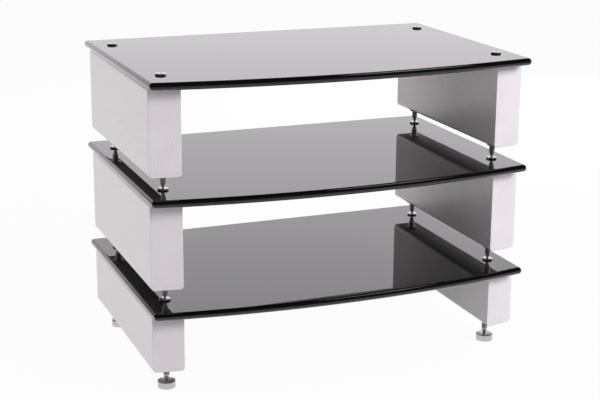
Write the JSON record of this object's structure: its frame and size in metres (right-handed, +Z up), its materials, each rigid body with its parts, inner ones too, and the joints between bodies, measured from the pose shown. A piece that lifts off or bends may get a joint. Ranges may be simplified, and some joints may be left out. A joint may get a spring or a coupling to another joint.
{
  "type": "audio equipment rack",
  "caption": "Open audio rack: bowed black glass shelves on white wooden side blocks, each level standing on chrome spikes in small round cups, with round pads on the floor.",
  "frame": {"origin": "centre of the footprint, on the floor under the pads", "axes": "+Z up, -Y to the bowed front, +X to the right seen from the front"},
  "size_m": [0.65, 0.452, 0.5124],
  "materials": {
    "black_glass": "polished, opaque black",
    "white_wood": "white stain on open grain, satin",
    "chrome_plate": "polished",
    "turned_steel": "turned, soft sheen"
  },
  "bodies": {
    "floor_pads": {"floor_pad_front_left": "turned_steel", "floor_pad_front_right": "turned_steel", "floor_pad_rear_left": "turned_steel", "floor_pad_rear_right": "turned_steel"},
    "lock_nuts_bottom": {"lock_nut_front_left_bottom": "chrome_plate", "lock_nut_front_right_bottom": "chrome_plate", "lock_nut_rear_left_bottom": "chrome_plate", "lock_nut_rear_right_bottom": "chrome_plate"},
    "level_bottom": {"side_block_left_bottom": "white_wood", "side_block_right_bottom": "white_wood", "glass_shelf_bottom": "black_glass", "spike_cup_front_left_bottom": "chrome_plate", "spike_cup_front_right_bottom": "chrome_plate", "spike_cup_rear_left_bottom": "chrome_plate", "spike_cup_rear_right_bottom": "chrome_plate"},
    "spike_front_left_bottom": {"spike_front_left_bottom": "chrome_plate"},
    "spike_front_right_bottom": {"spike_front_right_bottom": "chrome_plate"},
    "spike_rear_left_bottom": {"spike_rear_left_bottom": "chrome_plate"},
    "spike_rear_right_bottom": {"spike_rear_right_bottom": "chrome_plate"},
    "lock_nuts_middle": {"lock_nut_front_left_middle": "chrome_plate", "lock_nut_front_right_middle": "chrome_plate", "lock_nut_rear_left_middle": "chrome_plate", "lock_nut_rear_right_middle": "chrome_plate"},
    "level_middle": {"side_block_left_middle": "white_wood", "side_block_right_middle": "white_wood", "glass_shelf_middle": "black_glass", "spike_cup_front_left_middle": "chrome_plate", "spike_cup_front_right_middle": "chrome_plate", "spike_cup_rear_left_middle": "chrome_plate", "spike_cup_rear_right_middle": "chrome_plate"},
    "spike_front_left_middle": {"spike_front_left_middle": "chrome_plate"},
    "spike_front_right_middle": {"spike_front_right_middle": "chrome_plate"},
    "spike_rear_left_middle": {"spike_rear_left_middle": "chrome_plate"},
    "spike_rear_right_middle": {"spike_rear_right_middle": "chrome_plate"},
    "lock_nuts_top": {"lock_nut_front_left_top": "chrome_plate", "lock_nut_front_right_top": "chrome_plate", "lock_nut_rear_left_top": "chrome_plate", "lock_nut_rear_right_top": "chrome_plate"},
    "level_top": {"side_block_left_top": "white_wood", "side_block_right_top": "white_wood", "glass_shelf_top": "black_glass", "spike_cup_front_left_top": "chrome_plate", "spike_cup_front_right_top": "chrome_plate", "spike_cup_rear_left_top": "chrome_plate", "spike_cup_rear_right_top": "chrome_plate"},
    "spike_front_left_top": {"spike_front_left_top": "chrome_plate"},
    "spike_front_right_top": {"spike_front_right_top": "chrome_plate"},
    "spike_rear_left_top": {"spike_rear_left_top": "chrome_plate"},
    "spike_rear_right_top": {"spike_rear_right_top": "chrome_plate"}
  },
  "joints": [
    {"name": "lift_bottom_level", "type": "slide", "parent": "floor_pads", "child": "lock_nuts_bottom", "axis": [0, 0, 1], "range_m": [0, 0.12]},
    {"name": "raise_bottom_level", "type": "slide", "parent": "lock_nuts_bottom", "child": "level_bottom", "axis": [0, 0, 1], "range_m": [0, 0.01]},
    {"name": "turn_spike_front_left_bottom", "type": "hinge", "parent": "lock_nuts_bottom", "child": "spike_front_left_bottom", "pos_m": [-0.2905, -0.1349, 0.0095], "axis": [0, 0, -1], "range_deg": [0, 2400]},
    {"name": "turn_spike_front_right_bottom", "type": "hinge", "parent": "lock_nuts_bottom", "child": "spike_front_right_bottom", "pos_m": [0.2905, -0.1349, 0.0095], "axis": [0, 0, -1], "range_deg": [0, 2400]},
    {"name": "turn_spike_rear_left_bottom", "type": "hinge", "parent": "lock_nuts_bottom", "child": "spike_rear_left_bottom", "pos_m": [-0.2905, 0.161, 0.0095], "axis": [0, 0, -1], "range_deg": [0, 2400]},
    {"name": "turn_spike_rear_right_bottom", "type": "hinge", "parent": "lock_nuts_bottom", "child": "spike_rear_right_bottom", "pos_m": [0.2905, 0.161, 0.0095], "axis": [0, 0, -1], "range_deg": [0, 2400]},
    {"name": "lift_middle_level", "type": "slide", "parent": "level_bottom", "child": "lock_nuts_middle", "axis": [0, 0, 1], "range_m": [0, 0.12]},
    {"name": "raise_middle_level", "type": "slide", "parent": "lock_nuts_middle", "child": "level_middle", "axis": [0, 0, 1], "range_m": [0, 0.01]},
    {"name": "turn_spike_front_left_middle", "type": "hinge", "parent": "lock_nuts_middle", "child": "spike_front_left_middle", "pos_m": [-0.2905, -0.1349, 0.1492], "axis": [0, 0, -1], "range_deg": [0, 2400]},
    {"name": "turn_spike_front_right_middle", "type": "hinge", "parent": "lock_nuts_middle", "child": "spike_front_right_middle", "pos_m": [0.2905, -0.1349, 0.1492], "axis": [0, 0, -1], "range_deg": [0, 2400]},
    {"name": "turn_spike_rear_left_middle", "type": "hinge", "parent": "lock_nuts_middle", "child": "spike_rear_left_middle", "pos_m": [-0.2905, 0.161, 0.1492], "axis": [0, 0, -1], "range_deg": [0, 2400]},
    {"name": "turn_spike_rear_right_middle", "type": "hinge", "parent": "lock_nuts_middle", "child": "spike_rear_right_middle", "pos_m": [0.2905, 0.161, 0.1492], "axis": [0, 0, -1], "range_deg": [0, 2400]},
    {"name": "lift_top_level", "type": "slide", "parent": "level_middle", "child": "lock_nuts_top", "axis": [0, 0, 1], "range_m": [0, 0.12]},
    {"name": "raise_top_level", "type": "slide", "parent": "lock_nuts_top", "child": "level_top", "axis": [0, 0, 1], "range_m": [0, 0.01]},
    {"name": "turn_spike_front_left_top", "type": "hinge", "parent": "lock_nuts_top", "child": "spike_front_left_top", "pos_m": [-0.2905, -0.1349, 0.3302], "axis": [0, 0, -1], "range_deg": [0, 2400]},
    {"name": "turn_spike_front_right_top", "type": "hinge", "parent": "lock_nuts_top", "child": "spike_front_right_top", "pos_m": [0.2905, -0.1349, 0.3302], "axis": [0, 0, -1], "range_deg": [0, 2400]},
    {"name": "turn_spike_rear_left_top", "type": "hinge", "parent": "lock_nuts_top", "child": "spike_rear_left_top", "pos_m": [-0.2905, 0.161, 0.3302], "axis": [0, 0, -1], "range_deg": [0, 2400]},
    {"name": "turn_spike_rear_right_top", "type": "hinge", "parent": "lock_nuts_top", "child": "spike_rear_right_top", "pos_m": [0.2905, 0.161, 0.3302], "axis": [0, 0, -1], "range_deg": [0, 2400]}
  ],
  "couplings": [
    {"joint": "turn_spike_front_left_bottom", "follows": "raise_bottom_level", "rad_per_m": 4188.8},
    {"joint": "turn_spike_front_right_bottom", "follows": "raise_bottom_level", "rad_per_m": 4188.8},
    {"joint": "turn_spike_rear_left_bottom", "follows": "raise_bottom_level", "rad_per_m": 4188.8},
    {"joint": "turn_spike_rear_right_bottom", "follows": "raise_bottom_level", "rad_per_m": 4188.8},
    {"joint": "turn_spike_front_left_middle", "follows": "raise_middle_level", "rad_per_m": 4188.8},
    {"joint": "turn_spike_front_right_middle", "follows": "raise_middle_level", "rad_per_m": 4188.8},
    {"joint": "turn_spike_rear_left_middle", "follows": "raise_middle_level", "rad_per_m": 4188.8},
    {"joint": "turn_spike_rear_right_middle", "follows": "raise_middle_level", "rad_per_m": 4188.8},
    {"joint": "turn_spike_front_left_top", "follows": "raise_top_level", "rad_per_m": 4188.8},
    {"joint": "turn_spike_front_right_top", "follows": "raise_top_level", "rad_per_m": 4188.8},
    {"joint": "turn_spike_rear_left_top", "follows": "raise_top_level", "rad_per_m": 4188.8},
    {"joint": "turn_spike_rear_right_top", "follows": "raise_top_level", "rad_per_m": 4188.8}
  ]
}
